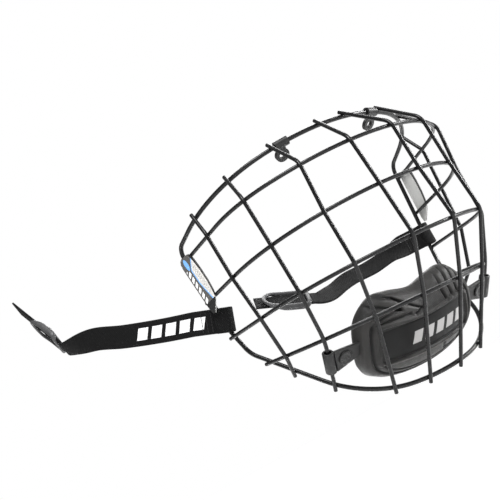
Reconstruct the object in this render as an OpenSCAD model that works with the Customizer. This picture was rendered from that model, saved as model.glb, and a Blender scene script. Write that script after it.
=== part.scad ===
// Wire face cage for a hockey helmet, with padded chin cup, side straps and forehead clips.
// Millimetres, as worn: +Z is up, the wearer looks along -Y, X runs across the face.
// The wearer's right side is -X. The cage is symmetric about X = 0; the two side straps are not posed alike.

/* [Wire] */
// Diameter of the face wires, coating included.
wire_d = 2.8; // [2.4:0.1:4]
// Diameter of the rim wire that runs round the edge of the cage.
rim_d = 3.2; // [2.8:0.1:5]
// How far two crossing wires sink into each other at a weld.
weld = 0.25; // [0.1:0.05:0.4]
// How far the free ends of the upright wires stand past the rim.
overhang = 3; // [0:0.5:6]

/* [Level wires 1 to 4, brow to chin] */
// Y of the front of each level wire.
bar_front = [-62, -65.5, -70, -46.5]; // [-100:0.5:0]
// Z of the front of each level wire.
bar_height = [56.5, 20.5, -20.5, -56.5]; // [-120:0.5:120]
// Degrees each level wire falls towards the back.
bar_fall = [4, 2.5, -2, -7]; // [-30:0.5:30]
// Radius of the curve across the front.
bar_front_radius = [118, 104, 96, 91]; // [60:0.5:200]
// Half angle of the curve across the front.
bar_front_angle = [38.5, 31, 32, 39.5]; // [10:0.5:60]
// Radius of the curve round each cheek.
bar_cheek_radius = [67.5, 91, 89, 78]; // [30:0.5:120]
// Angle of the straight legs, 90 being straight back.
bar_leg_angle = [82.4, 83.2, 82.2, 80.3]; // [60:0.1:100]
// Length of the straight legs.
bar_leg = [57, 48, 55.5, 30.5]; // [10:0.5:80]

/* [Rim] */
// Front of the rim at the forehead, Y and Z.
brow_front = [-30.5, 83.5]; // [-120:0.5:120]
// Forehead run: fall, front angle and leg angle in degrees.
brow_angles = [15, 25, 82]; // [-60:0.5:100]
// Forehead run: front radius, temple radius and leg length.
brow_sizes = [128, 82, 21]; // [10:0.5:200]
// Front of the rim under the chin, Y and Z.
chin_front = [-3.5, -106]; // [-120:0.5:120]
// Chin run: fall, front angle and leg angle in degrees.
chin_angles = [-49.5, 8.5, 69]; // [-60:0.5:100]
// Chin run: front radius, jaw radius and leg length.
chin_sizes = [145, 64, 59]; // [10:0.5:200]
// Point where the side of the rim starts to curve under the jaw.
jaw_point = [99, 63, -11.5]; // [-120:0.5:120]
// Bend radius at the temple, above the jaw and under the jaw.
side_bends = [9, 40, 20]; // [5:1:80]

/* [Upright wires, centre pair to outer pair] */
// X of each pair on the forehead run of the rim.
up_brow = [11.5, 49.5, 80, 99]; // [5:0.5:120]
// X of each pair on level wire 1.
up_1 = [18.5, 54.5, 88, 101.3]; // [5:0.1:120]
// X of each pair on level wire 2.
up_2 = [17.5, 56, 85, 99]; // [5:0.5:120]
// X of each pair on level wire 3.
up_3 = [18, 56.5, 83.5, 94.9]; // [5:0.1:120]
// X of each pair on level wire 4.
up_4 = [16.5, 49, 75.5, 87.4]; // [5:0.1:120]
// X of each pair on the chin run of the rim.
up_chin = [14.5, 40.5, 69.5, 81.5]; // [5:0.1:120]
// Bend radius of the uprights at level wires 1 to 4.
up_bends = [12, 70, 12, 50]; // [5:1:100]
// Largest bend radius on the outer pair.
outer_bend = 12; // [5:1:20]

/* [Side plates] */
// Thickness of the side plates.
plate_t = 1.2; // [0.6:0.1:3]
// Y of the middle of the side plates.
plate_y = 53; // [40:0.5:60]

/* [Forehead clips] */
// X of the two clips on the forehead run.
clip_x = 41.5; // [30:0.5:42]
// Length of the sleeve round the rim.
clip_length = 10.5; // [8:0.5:12]
// Distance from the rim to the screw hole.
clip_reach = 9; // [8.5:0.5:16]
// Diameter of the screw hole.
clip_hole_d = 5.2; // [4:0.1:6.5]
// Degrees the tab drops below level.
clip_drop = 38; // [0:1:80]

/* [Side straps] */
// Width of the webbing.
web_w = 18; // [14:1:20]
// Thickness of one layer of webbing.
web_t = 1.5; // [1:0.1:1.8]
// Degrees the right strap is swung out from straight back.
strap_out = 32; // [25:1:40]
// Degrees the right strap is lifted above level.
strap_lift = 21; // [15:1:25]
// Length of webbing left over behind the right and the left slide bar.
strap_tail = [61, 41]; // [40:1:80]
// Length and width of the strap slides.
slide_size = [38, 26]; // [26:1:44]

/* [Chin cup] */
// Middle of the front face of the cup.
cup_at = [0, -14.5, -78.5]; // [-100:0.5:100]
// Degrees the cup leans forward.
cup_lean = 37; // [20:1:60]
// Width and height of the cup.
cup_size = [105, 64]; // [40:1:120]
// Radius of the cup across the face and over its height.
cup_radii = [118, 46]; // [44:1:150]
// Thickness of the outer shell and of the foam liner.
cup_layers = [3, 9]; // [1:0.5:15]
// Where each tab grips its upright, 0 at level wire 4, 1 at the rim.
tab_place = 0.45; // [0.2:0.01:0.8]
// Width of the tabs.
tab_w = 17; // [10:1:24]
// Diameter of the snap caps.
snap_d = 10.5; // [8:0.5:14]

/* [Hidden] */
$fn = 32;

lap = 0.3;
swell = 0.03;
gap = 0.3;
wire_col = [0.06, 0.06, 0.065];
web_col = [0.05, 0.05, 0.05];
plastic_col = [0.16, 0.16, 0.17];

function unit(v) = v / norm(v);
function turn(a, b) = acos(max(-1, min(1, unit(a) * unit(b))));

// A bow is one planar wire: a front curve, two cheek curves and two straight legs.
// b = [front y, front z, fall, front radius, front angle, cheek radius, leg angle, leg length]
straight = 2;
function bar(i) = [
  bar_front[i], bar_height[i], bar_fall[i], bar_front_radius[i],
  bar_front_angle[i], bar_cheek_radius[i], bar_leg_angle[i], bar_leg[i]];
brow = [brow_front[0], brow_front[1], brow_angles[0], brow_sizes[0],
  brow_angles[1], brow_sizes[1], brow_angles[2], brow_sizes[2]];
chin = [chin_front[0], chin_front[1], chin_angles[0], chin_sizes[0],
  chin_angles[1], chin_sizes[1], chin_angles[2], chin_sizes[2]];

// Plan position [x, depth] of the two ends of the cheek curve and of its centre.
function cheek_start(b) = [
  b[3] * sin(b[4]) + straight * cos(b[4]),
  b[3] * (1 - cos(b[4])) + straight * sin(b[4])];
function cheek_centre(b) = cheek_start(b) + b[5] * [-sin(b[4]), cos(b[4])];
function cheek_end(b) = cheek_centre(b) + b[5] * [sin(b[6]), -cos(b[6])];
function leg_end(b) = cheek_end(b) + b[7] * [cos(b[6]), sin(b[6])];

// Angle and depth of a bow at a distance x from the middle.
function bow_angle(b, x) =
  x <= b[3] * sin(b[4]) ? asin(x / b[3])
  : x <= cheek_start(b)[0] ? b[4]
  : x <= cheek_end(b)[0] ? asin((x - cheek_centre(b)[0]) / b[5])
  : b[6];
function bow_depth(b, x) =
  x <= b[3] * sin(b[4]) ? b[3] * (1 - cos(bow_angle(b, x)))
  : x <= cheek_start(b)[0] ? b[3] * (1 - cos(b[4])) + (x - b[3] * sin(b[4])) * tan(b[4])
  : x <= cheek_end(b)[0] ? cheek_centre(b)[1] - b[5] * cos(bow_angle(b, x))
  : cheek_end(b)[1] + (x - cheek_end(b)[0]) * tan(b[6]);

// Point in space for a plan position, and the direction of the bow there.
function bow_at(b, p) = [p[0], b[0] + p[1] * cos(b[2]), b[1] - p[1] * sin(b[2])];
function bow_point(b, x) = bow_at(b, [x, bow_depth(b, x)]);
function bow_dir(b, a) = [cos(a), sin(a) * cos(b[2]), -sin(a) * sin(b[2])];

// Corners of a bow, from the middle out, and their bend radii.
function bow_corner(b) = bow_at(b,
  cheek_start(b) + b[5] * tan((b[6] - b[4]) / 2) * [cos(b[4]), sin(b[4])]);
function bow_nose(b) = bow_at(b, [0, b[3] * (1 - 1 / cos(b[4]))]);
function bow_end(b) = bow_at(b, leg_end(b));

function flip(p) = [-p[0], p[1], p[2]];

// Straight piece of wire.
module rod(p, q, r) {
  v = q - p;
  translate(p)
    rotate([0, acos(v[2] / norm(v)), atan2(v[1], v[0])])
      cylinder(h = norm(v), r = r);
}

// Curved piece of wire that turns one corner.
module bend(before, corner, after, radius, r) {
  u = unit(corner - before);
  w = unit(after - corner);
  a = turn(u, w);
  n = unit(cross(u, w));
  inward = cross(n, u);
  centre = corner - radius * tan(a / 2) * u + radius * inward;
  multmatrix([
    [-inward[0], u[0], n[0], centre[0]],
    [-inward[1], u[1], n[1], centre[1]],
    [-inward[2], u[2], n[2], centre[2]],
    [0, 0, 0, 1]])
    rotate_extrude(angle = a, $fn = max(32, ceil(1100 / a)))
      translate([radius, 0])
        circle(r = r, $fn = 32);
}

// Wire bent along a list of corners, each with its own bend radius.
// The bends are a hair thicker and the straights reach into them.
module bent_wire(pts, radii, d, closed = false) {
  n = len(pts);
  function at(i) = pts[(i + n) % n];
  function cut(i) = !closed && (i == 0 || i == n - 1) ? 0
    : radii[i % n] * tan(turn(at(i) - at(i - 1), at(i + 1) - at(i)) / 2) - lap;
  for (i = [0 : closed ? n - 1 : n - 2]) {
    u = unit(at(i + 1) - at(i));
    rod(at(i) + cut(i) * u, at(i + 1) - cut(i + 1) * u, d / 2);
  }
  for (i = [closed ? 0 : 1 : closed ? n - 1 : n - 2])
    bend(at(i - 1), at(i), at(i + 1), radii[i], d / 2 + swell);
}

module level_wire(i) {
  b = bar(i);
  color(wire_col)
    union()
      bent_wire(
        [flip(bow_end(b)), flip(bow_corner(b)), bow_nose(b), bow_corner(b), bow_end(b)],
        [0, b[5], b[3], b[5], 0], wire_d);
}

module level_wire_1() { level_wire(0); }
module level_wire_2() { level_wire(1); }
module level_wire_3() { level_wire(2); }
module level_wire_4() { level_wire(3); }

temple = bow_end(brow);
jaw = bow_end(chin);
module rim_wire() {
  half = [bow_corner(brow), temple, jaw_point, jaw, bow_corner(chin)];
  bends = [brow[5], side_bends[0], side_bends[1], side_bends[2], chin[5]];
  color(wire_col)
    union()
      bent_wire(
        concat([bow_nose(brow)], half, [bow_nose(chin)], [for (i = [4 : -1 : 0]) flip(half[i])]),
        concat([brow[3]], bends, [chin[3]], [for (i = [4 : -1 : 0]) bends[i]]),
        rim_d, closed = true);
}

// Upright wires: each one touches the outside of every bow it crosses.
rows = [brow, bar(0), bar(1), bar(2), bar(3), chin];
row_x = [up_brow, up_1, up_2, up_3, up_4, up_chin];
function row_radius(j) = (j == 0 || j == 5 ? rim_d : wire_d) / 2;
function cross_at(j, c) = bow_point(rows[j], row_x[j][c]);
function run(j, c) = unit(cross_at(min(j + 1, 5), c) - cross_at(min(j, 4), c));
function run_back(j, c) = unit(cross_at(max(j, 1), c) - cross_at(max(j - 1, 0), c));
function outward(j, c) = unit(cross(
  run(j, c) + run_back(j, c), bow_dir(rows[j], bow_angle(rows[j], row_x[j][c]))));
function up_bend(j, c) = c == 3 ? min(outer_bend, up_bends[j - 1]) : up_bends[j - 1];
function bend_slack(j, c) = j == 0 || j == 5 ? [0, 0, 0]
  : up_bend(j, c) * (1 / cos(turn(run_back(j, c), run(j, c)) / 2) - 1)
    * unit(run_back(j, c) - run(j, c));
function upright_point(j, c) = cross_at(j, c)
  + (wire_d / 2 + row_radius(j) - weld) * outward(j, c) + bend_slack(j, c);
function upright_points(c) = [
  upright_point(0, c) - overhang * run(0, c),
  upright_point(1, c), upright_point(2, c), upright_point(3, c), upright_point(4, c),
  upright_point(5, c) + overhang * run(5, c)];

module upright(c) {
  color(wire_col)
    union()
      bent_wire(upright_points(c), [0, for (j = [1 : 4]) up_bend(j, c), 0], wire_d);
}

module upright_wire_1() { mirror([1, 0, 0]) upright(3); }
module upright_wire_2() { mirror([1, 0, 0]) upright(2); }
module upright_wire_3() { mirror([1, 0, 0]) upright(1); }
module upright_wire_4() { mirror([1, 0, 0]) upright(0); }
module upright_wire_5() { upright(0); }
module upright_wire_6() { upright(1); }
module upright_wire_7() { upright(2); }
module upright_wire_8() { upright(3); }

// Point on the straight leg of a level wire at a given y.
function leg_at(b, y) = bow_end(b)
  + (y - bow_end(b)[1]) / bow_dir(b, b[6])[1] * bow_dir(b, b[6]);

// Side plate: thin leaf laid on the outside of the legs of level wires 1 and 2.
plate_top = leg_at(bar(0), plate_y);
plate_low = leg_at(bar(1), plate_y);
plate_u = unit(bow_dir(bar(0), bar_leg_angle[0]) + bow_dir(bar(1), bar_leg_angle[1]));
plate_n = unit(cross(plate_u, unit(plate_top - plate_low)));
plate_w = cross(plate_n, plate_u);
plate_o = (plate_top + plate_low) / 2 + (wire_d / 2 - 0.08) * plate_n;
plate_outline = [
  [-5.5, 17.5], [-4, 18.6], [-1, 19], [5, 19.4], [8, 18.6], [9.8, 16.4], [10.4, 13],
  [10.4, -18], [10.2, -22.5], [9, -26], [7, -26.4], [-1.6, -20], [-4.2, -17.5],
  [-6, -13], [-7.2, -5], [-7.4, 5], [-6.8, 13.6]];

module side_plate_left() {
  color([0.3, 0.3, 0.32])
    multmatrix([
      [plate_u[0], plate_w[0], -plate_n[0], plate_o[0] + plate_t * plate_n[0]],
      [plate_u[1], plate_w[1], -plate_n[1], plate_o[1] + plate_t * plate_n[1]],
      [plate_u[2], plate_w[2], -plate_n[2], plate_o[2] + plate_t * plate_n[2]],
      [0, 0, 0, 1]])
      mirror([0, 0, 1])
        translate([0, 0, -plate_t])
          linear_extrude(height = plate_t)
            polygon(plate_outline);
}

module side_plate_right() { mirror([1, 0, 0]) side_plate_left(); }

// Forehead clip: sleeve round the rim with a drooping tab and a screw hole.
clip_o = bow_point(brow, clip_x);
clip_dir = bow_dir(brow, bow_angle(brow, clip_x));
clip_shift = 1.5;
clip_t = 2.6;
sleeve_r = rim_d / 2 + gap;
module forehead_clip_left() {
  color(plastic_col)
    translate(clip_o)
      rotate([0, -asin(clip_dir[2]), atan2(clip_dir[1], clip_dir[0])])
        rotate([-clip_drop, 0, 0])
          difference() {
            union() {
              rotate([0, 90, 0])
                cylinder(h = clip_length, r = sleeve_r + 1.4, center = true, $fn = 40);
              translate([clip_shift - 3.7, 1.5, -clip_t / 2])
                cube([7.4, clip_reach - 1.5, clip_t]);
              translate([clip_shift, clip_reach, -clip_t / 2])
                cylinder(h = clip_t, d = clip_hole_d + 5.4, $fn = 40);
            }
            rotate([0, 90, 0])
              cylinder(h = clip_length + 4, r = sleeve_r, center = true, $fn = 40);
            translate([clip_shift, clip_reach, -clip_t])
              cylinder(h = 2 * clip_t, d = clip_hole_d, $fn = 40);
          }
}

module forehead_clip_right() { mirror([1, 0, 0]) forehead_clip_left(); }

// Flat ribbon of constant thickness along a path in the XY plane.
function side_of(path, i) =
  let (a = path[max(i - 1, 0)], b = path[min(i + 1, len(path) - 1)])
  unit([a[1] - b[1], b[0] - a[0]]);
module ribbon(path, t, w) {
  n = len(path);
  linear_extrude(height = w, center = true)
    polygon(concat(
      [for (i = [0 : n - 1]) path[i] + t / 2 * side_of(path, i)],
      [for (i = [n - 1 : -1 : 0]) path[i] - t / 2 * side_of(path, i)]));
}

// Rounded slot shape, long along X.
module slot_block(length, breadth, h) {
  linear_extrude(height = h, center = true)
    polygon([
      for (i = [0 : 10]) [length / 2 + breadth / 2 * sin(18 * i), breadth / 2 * cos(18 * i)],
      for (i = [0 : 10]) [-length / 2 - breadth / 2 * sin(18 * i), -breadth / 2 * cos(18 * i)]]);
}

// Webbing loop with its doubled, sewn neck; the strap leaves along +X.
module web_loop(length, breadth, neck) {
  difference() {
    union() {
      slot_block(length, breadth + 2 * web_t, web_w);
      translate([length / 2 + neck / 2, 0, 0])
        cube([neck, 2 * web_t, web_w], center = true);
    }
    slot_block(length, breadth, web_w + 2);
  }
}

// Place a part so that its X, Y and Z run along the given directions.
module in_frame(x, y, z, o) {
  multmatrix([
    [x[0], y[0], z[0], o[0]],
    [x[1], y[1], z[1], o[1]],
    [x[2], y[2], z[2], o[2]],
    [0, 0, 0, 1]])
    children();
}

// Webbing through hand-placed stations, smoothed and turned to lie across the given directions.
function spline(l, i, t) =
  let (a = l[max(i - 1, 0)], b = l[i], c = l[i + 1], d = l[min(i + 2, len(l) - 1)])
  b + t / 2 * (c - a) + t * t / 2 * (2 * a - 5 * b + 4 * c - d) + t * t * t / 2 * (3 * b - 3 * c + d - a);
function smooth(l) = [
  for (i = [0 : len(l) - 2]) for (k = [0 : 3]) spline(l, i, k / 4), l[len(l) - 1]];
function square_to(v, x) = unit(v - (v * x) * x);
module webbing(way, across) {
  p = smooth(way);
  z = smooth(across);
  n = len(p) - 1;
  polyhedron(
    points = [
      for (i = [0 : n])
        let (
          x = unit(p[min(i + 1, n)] - p[max(i - 1, 0)]),
          w = square_to(z[i], x) * web_w / 2,
          h = cross(square_to(z[i], x), x) * web_t / 2)
        each [p[i] + h + w, p[i] + h - w, p[i] - h - w, p[i] - h + w]],
    faces = [
      [3, 2, 1, 0], [4 * n, 4 * n + 1, 4 * n + 2, 4 * n + 3],
      for (i = [0 : n - 1]) for (k = [0 : 3])
        [4 * i + k, 4 * i + (k + 1) % 4, 4 * i + 4 + (k + 1) % 4, 4 * i + 4 + k]]);
}

// The straps hang from the straight side of the rim.
side_dir = unit(temple - jaw_point);
function side_at(z) = jaw_point + (z - jaw_point[2]) / side_dir[2] * side_dir;

// Right strap: stretched out behind, turning half over just before its slide.
right_o = flip(side_at(-1.5));
right_x = [-sin(strap_out) * cos(strap_lift), cos(strap_out) * cos(strap_lift), sin(strap_lift)];
right_z = square_to([0, 0, 1], right_x);
right_y = cross(right_z, right_x);
right_tail_x = unit([-0.12, 0.6, 0.79]);
right_tail_z = square_to([-0.41, -0.75, 0.51], right_tail_x);
right_bar = [-175, 182.1, 52.1];
right_way = [
  right_o + 20 * right_x, right_o + 55 * right_x - [0, 0, 1.5],
  right_o + 90 * right_x - [0, 0, 2], right_o + 118 * right_x - [0, 0, 1],
  right_bar - 9 * right_tail_x, right_bar - 4 * right_tail_x, right_bar + 8 * right_tail_x,
  right_bar + 30 * right_tail_x, right_bar + strap_tail[0] * right_tail_x];
right_across = [
  right_z, right_z, right_z, 0.9 * right_z + 0.1 * right_tail_z,
  right_tail_z, right_tail_z, right_tail_z, right_tail_z, right_tail_z];

module side_strap_right() {
  color(web_col)
    union() {
      in_frame(right_x, right_y, right_z, right_o)
        web_loop(8.5, 5.6, 22);
      webbing(right_way, right_across);
    }
}

// Left strap: folded inward across the back of the cage.
left_o = side_at(-4.5);
left_x = [-cos(19), sin(19), 0];
left_z = [0, 0, 1];
left_lean = [0, 0.68, 0.73];
left_tail_x = unit([-0.88, 0.3, 0.365]);
left_tail_z = square_to([0.467, 0.689, 0.555], left_tail_x);
left_bar = [-20.5, 75.4, -11];
left_way = [
  left_o + 18 * left_x, [67, 74.5, -6], [48, 79.5, -8.5], [28, 81.5, -9], [9, 78.5, -12.5],
  left_bar - 12 * left_tail_x, left_bar - 5 * left_tail_x, left_bar + 8 * left_tail_x,
  left_bar + 30 * left_tail_x, left_bar + strap_tail[1] * left_tail_x];
left_across = [
  left_z, left_lean, left_lean, left_lean, left_tail_z,
  left_tail_z, left_tail_z, left_tail_z, left_tail_z, left_tail_z];

module side_strap_left() {
  color(web_col)
    union() {
      in_frame(left_x, cross(left_z, left_x), left_z, left_o)
        web_loop(4, 5.2, 19);
      webbing(left_way, left_across);
    }
}

// Strap slide: two rails, an end bar and a round end over the webbing, and one bar under it.
module strap_slide() {
  inner = web_w / 2 + 0.4;
  outer = slide_size[1] / 2;
  rail = outer - inner;
  seat = web_t / 2 + gap;
  bar_t = 1.6;
  round_x = slide_size[0] - 2 - outer;
  color(plastic_col)
    union() {
      for (s = [-1, 1])
        translate([-2, -seat - bar_t, s * (inner + rail / 2) - rail / 2])
          cube([round_x + 2, 2 * (seat + bar_t), rail]);
      translate([-2, seat, -inner - 1])
        cube([4, bar_t, 2 * inner + 2]);
      translate([10, -seat - bar_t, -inner - 1])
        cube([3.6, bar_t, 2 * inner + 2]);
      difference() {
        translate([round_x, seat + bar_t / 2, 0])
          rotate([90, 0, 0])
            cylinder(h = bar_t - 0.1, r = outer - 0.1, center = true, $fn = 48);
        translate([round_x, seat + bar_t / 2, 0])
          rotate([90, 0, 0])
            cylinder(h = 4, r = inner - 0.6, center = true, $fn = 48);
        translate([round_x - 30 - 0.5, seat - 1, -20])
          cube([30, 4, 40]);
      }
    }
}

module strap_slide_right() {
  in_frame(right_tail_x, cross(right_tail_z, right_tail_x), right_tail_z, right_bar)
    strap_slide();
}

module strap_slide_left() {
  in_frame(left_tail_x, cross(left_tail_z, left_tail_x), left_tail_z, left_bar)
    strap_slide();
}

// Chin cup: layers share one profile, curved over the height and swept across the face.
function cup_profile(inset, z0, z1, steps) = [
  for (i = [0 : steps])
    let (z = z0 + (z1 - z0) * i / steps)
    [cup_radii[0] - cup_radii[1] + sqrt(pow(cup_radii[1], 2) - z * z) - inset, z]];
cup_turn = asin(cup_size[0] / 2 / (cup_radii[0] - cup_layers[0] - cup_layers[1])) + 3;
function back(list) = [for (i = [len(list) - 1 : -1 : 0]) list[i]];

module cup_sweep(from, to, z0, z1, half_angle) {
  translate([0, cup_radii[0], 0])
    rotate([0, 0, -90 - half_angle])
      rotate_extrude(angle = 2 * half_angle, $fn = 96)
        polygon(concat(cup_profile(from, z0, z1, 8), back(cup_profile(to, z0, z1, 8))));
}

// Rounded outline seen from the front, used to trim the layers.
module cup_outline(inset) {
  rotate([90, 0, 0])
    linear_extrude(height = 160, center = true)
      polygon([
        for (i = [0 : 39])
          let (c = cos(9 * i), s = sin(9 * i))
          [(cup_size[0] / 2 - inset) * sign(c) * pow(abs(c), 0.7),
           (cup_size[1] / 2 - inset) * sign(s) * pow(abs(s), 0.7)]]);
}

module cup_place() {
  translate(cup_at)
    rotate([cup_lean, 0, 0])
      children();
}

module chin_shell() {
  color([0.1, 0.095, 0.09])
    difference() {
      cup_place()
        intersection() {
          cup_sweep(0, cup_layers[0], -cup_size[1] / 2 - 1, cup_size[1] / 2 + 1, cup_turn);
          cup_outline(0);
        }
      tab_root(0.06);
      mirror([1, 0, 0])
        tab_root(0.06);
    }
}

module chin_liner() {
  color([0.14, 0.13, 0.12])
    difference() {
      cup_place()
        intersection() {
          cup_sweep(
            cup_layers[0], cup_layers[0] + cup_layers[1],
            -cup_size[1] / 2 - 1, cup_size[1] / 2 + 1, cup_turn);
          cup_outline(2);
        }
      tab_root(0.06);
      mirror([1, 0, 0])
        tab_root(0.06);
    }
}

module chin_band() {
  color([0.03, 0.03, 0.03])
    cup_place()
      cup_sweep(-1.2, 0, -14, 13, 0.7 * cup_turn);
}

// Tab frame: origin on the third upright, Z along it, X away from the middle.
tab_from = upright_point(4, 2);
tab_to = upright_point(5, 2);
tab_o = tab_from + tab_place * (tab_to - tab_from);
tab_z = unit(tab_from - tab_to);
tab_x = unit([1, 0, 0] - tab_z[0] * tab_z);
tab_y = cross(tab_z, tab_x);
tab_path = [[-1.6, -2.2], [-6, -2.6], [-15, -3.4], [-28, -4.6]];
tab_mid = (tab_path[1] + tab_path[2]) / 2;
tab_slack = 1.2;
tab_run = unit(tab_path[2] - tab_path[1]);

module tab_root(grow) {
  in_frame(tab_x, tab_y, tab_z, tab_o)
    ribbon(tab_path, 3 + 2 * grow, tab_w + 2 * grow);
}

module chin_tab_left() {
  color(web_col)
    in_frame(tab_x, tab_y, tab_z, tab_o)
      difference() {
        union() {
          cylinder(h = tab_w, r = wire_d / 2 + tab_slack + 1.4, center = true, $fn = 40);
          ribbon(tab_path, 3, tab_w);
        }
        cylinder(h = tab_w + 4, r = wire_d / 2 + tab_slack, center = true, $fn = 40);
      }
}

module chin_tab_right() { mirror([1, 0, 0]) chin_tab_left(); }

// Press snap: domed cap on the front of the tab, flat socket behind it.
module on_tab(face) {
  in_frame(tab_x, tab_y, tab_z, tab_o)
    translate([tab_mid[0], tab_mid[1], 0])
      rotate([0, 0, atan2(tab_run[1], tab_run[0])])
        rotate([-90, 0, 0])
          translate([0, 0, face])
            children();
}

module snap_cap_left() {
  color([0.12, 0.12, 0.12])
    on_tab(1.5)
      union() {
        cylinder(h = 1, d = snap_d);
        translate([0, 0, 0.9])
          cylinder(h = 0.8, d1 = snap_d - 1, d2 = snap_d - 3.4);
      }
}

module snap_cap_right() { mirror([1, 0, 0]) snap_cap_left(); }

module snap_socket_left() {
  color([0.12, 0.12, 0.12])
    on_tab(-2.9)
      difference() {
        cylinder(h = 1.4, d = snap_d - 2);
        translate([0, 0, -1])
          cylinder(h = 2, d = 4);
      }
}

module snap_socket_right() { mirror([1, 0, 0]) snap_socket_left(); }

rim_wire();
level_wire_1();
level_wire_2();
level_wire_3();
level_wire_4();
upright_wire_1();
upright_wire_2();
upright_wire_3();
upright_wire_4();
upright_wire_5();
upright_wire_6();
upright_wire_7();
upright_wire_8();
side_plate_right();
side_plate_left();
forehead_clip_right();
forehead_clip_left();
side_strap_right();
side_strap_left();
strap_slide_right();
strap_slide_left();
chin_shell();
chin_liner();
chin_band();
chin_tab_right();
chin_tab_left();
snap_cap_right();
snap_cap_left();
snap_socket_right();
snap_socket_left();
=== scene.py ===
"""Hockey helmet cage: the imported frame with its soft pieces, hardware, finishes, light and camera."""

import math

import bpy
from mathutils import Matrix, Vector


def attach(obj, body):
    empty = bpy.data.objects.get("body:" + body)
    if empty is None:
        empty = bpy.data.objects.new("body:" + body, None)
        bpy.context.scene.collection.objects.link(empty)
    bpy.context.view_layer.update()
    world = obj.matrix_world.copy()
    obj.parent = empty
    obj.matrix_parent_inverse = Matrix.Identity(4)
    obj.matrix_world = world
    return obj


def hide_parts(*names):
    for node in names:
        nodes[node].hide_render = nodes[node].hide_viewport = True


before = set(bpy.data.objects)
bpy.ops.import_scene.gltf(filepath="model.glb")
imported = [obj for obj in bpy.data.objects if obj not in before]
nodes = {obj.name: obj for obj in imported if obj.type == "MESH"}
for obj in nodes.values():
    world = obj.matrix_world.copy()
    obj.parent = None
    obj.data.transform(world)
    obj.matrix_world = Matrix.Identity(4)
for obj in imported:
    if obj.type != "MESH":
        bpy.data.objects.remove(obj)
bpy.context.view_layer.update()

MM = 0.001


# --- Camera, floor and light ------------------------------------------------------------------

# The photograph looks up from low on the wearer's right front, tipped sideways.
EYE = Vector((-446.556, -601.041, -102.739)) * MM
RIGHT = Vector((0.80040, -0.37538, -0.46738))
UP = Vector((0.32763, -0.37899, 0.86546))
FORWARD = Vector((0.50201, 0.84585, 0.18036))
SENSOR = 36.0
FOCAL_PIXELS = 1050
PHOTO_PIXELS = 500

FLOOR_HEIGHT = -135 * MM
FLOOR_SIZE = 12.0
# How strongly the white surround lights the object; the floor's own glow makes up the rest.
FILL = 0.4


def add_camera():
    data = bpy.data.cameras.new("camera")
    data.sensor_width = SENSOR
    data.lens = SENSOR * FOCAL_PIXELS / PHOTO_PIXELS
    data.clip_start = 0.01
    camera = bpy.data.objects.new("camera", data)
    columns = Matrix((RIGHT, UP, -FORWARD)).transposed()
    camera.matrix_world = Matrix.Translation(EYE) @ columns.to_4x4()
    bpy.context.scene.collection.objects.link(camera)
    bpy.context.scene.camera = camera


def add_area_light(name, place, size, power, target=(0.0, 0.0, 0.0), spread=180):
    data = bpy.data.lights.new(name, "AREA")
    data.shape = "DISK"
    data.size = size
    data.energy = power
    data.spread = math.radians(spread)
    light = bpy.data.objects.new(name, data)
    light.location = place
    light.rotation_euler = (Vector(target) - Vector(place)).to_track_quat("-Z", "Y").to_euler()
    bpy.context.scene.collection.objects.link(light)


def add_world(fill):
    """White surround that lights the object at the strength fill."""
    world = bpy.data.worlds.new("world")
    world.use_nodes = True
    tree = world.node_tree
    background = tree.nodes["Background"]
    background.inputs["Color"].default_value = (1.0, 1.0, 1.0, 1.0)
    seen = tree.nodes.new("ShaderNodeLightPath").outputs["Is Camera Ray"]
    strength = tree.nodes.new("ShaderNodeMapRange")
    strength.inputs["To Min"].default_value = fill
    strength.inputs["To Max"].default_value = 1.0
    tree.links.new(seen, strength.inputs["Value"])
    tree.links.new(strength.outputs["Result"], background.inputs["Strength"])
    bpy.context.scene.world = world


# --- Mesh helpers -----------------------------------------------------------------------------

def new_object(name, points, faces, uv=None, smooth=True):
    """Links a mesh given in millimetres; uv holds one pair per point, in metres."""
    mesh = bpy.data.meshes.new(name)
    mesh.from_pydata([Vector(p) * MM for p in points], [], faces)
    mesh.validate()
    if uv:
        layer = mesh.uv_layers.new(name="UVMap")
        for loop in mesh.loops:
            layer.data[loop.index].uv = uv[loop.vertex_index]
    if smooth:
        mesh.polygons.foreach_set("use_smooth", [True] * len(mesh.polygons))
    mesh.update()
    obj = bpy.data.objects.new(name, mesh)
    bpy.context.scene.collection.objects.link(obj)
    return obj


def square_to(v, x):
    """Direction of v with its part along x taken out."""
    return (v - v.dot(x) * x).normalized()


def spline(points, steps):
    """Smooth curve through the points, with a number of steps between each two."""
    out = []
    last = len(points) - 1
    for i in range(last):
        a, b = points[max(i - 1, 0)], points[i]
        c, d = points[i + 1], points[min(i + 2, last)]
        for k in range(steps):
            t = k / steps
            out.append(b + (c - a) * t / 2 + (2 * a - 5 * b + 4 * c - d) * t * t / 2
                       + (3 * b - 3 * c + d - a) * t ** 3 / 2)
    return out + [points[-1]]


def sweep(path, across, sections, closed=False):
    """Points and faces of a solid swept along path.

    across holds the direction of each section's first axis, and sections the outline
    [(a, b), ...] at each path point, a along across and b along the thickness.
    """
    count, side = len(path), len(sections[0])
    points, faces = [], []
    for i, p in enumerate(path):
        ahead = path[(i + 1) % count] if closed else path[min(i + 1, count - 1)]
        behind = path[i - 1] if closed else path[max(i - 1, 0)]
        x = (ahead - behind).normalized()
        z = square_to(across[i], x)
        y = z.cross(x)
        points += [p + z * a + y * b for a, b in sections[i]]
    for i in range(count if closed else count - 1):
        j = (i + 1) % count
        for k in range(side):
            m = (k + 1) % side
            faces.append((i * side + k, i * side + m, j * side + m, j * side + k))
    if not closed:
        faces.append(tuple(reversed(range(side))))
        faces.append(tuple(range((count - 1) * side, count * side)))
    return points, faces


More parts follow.
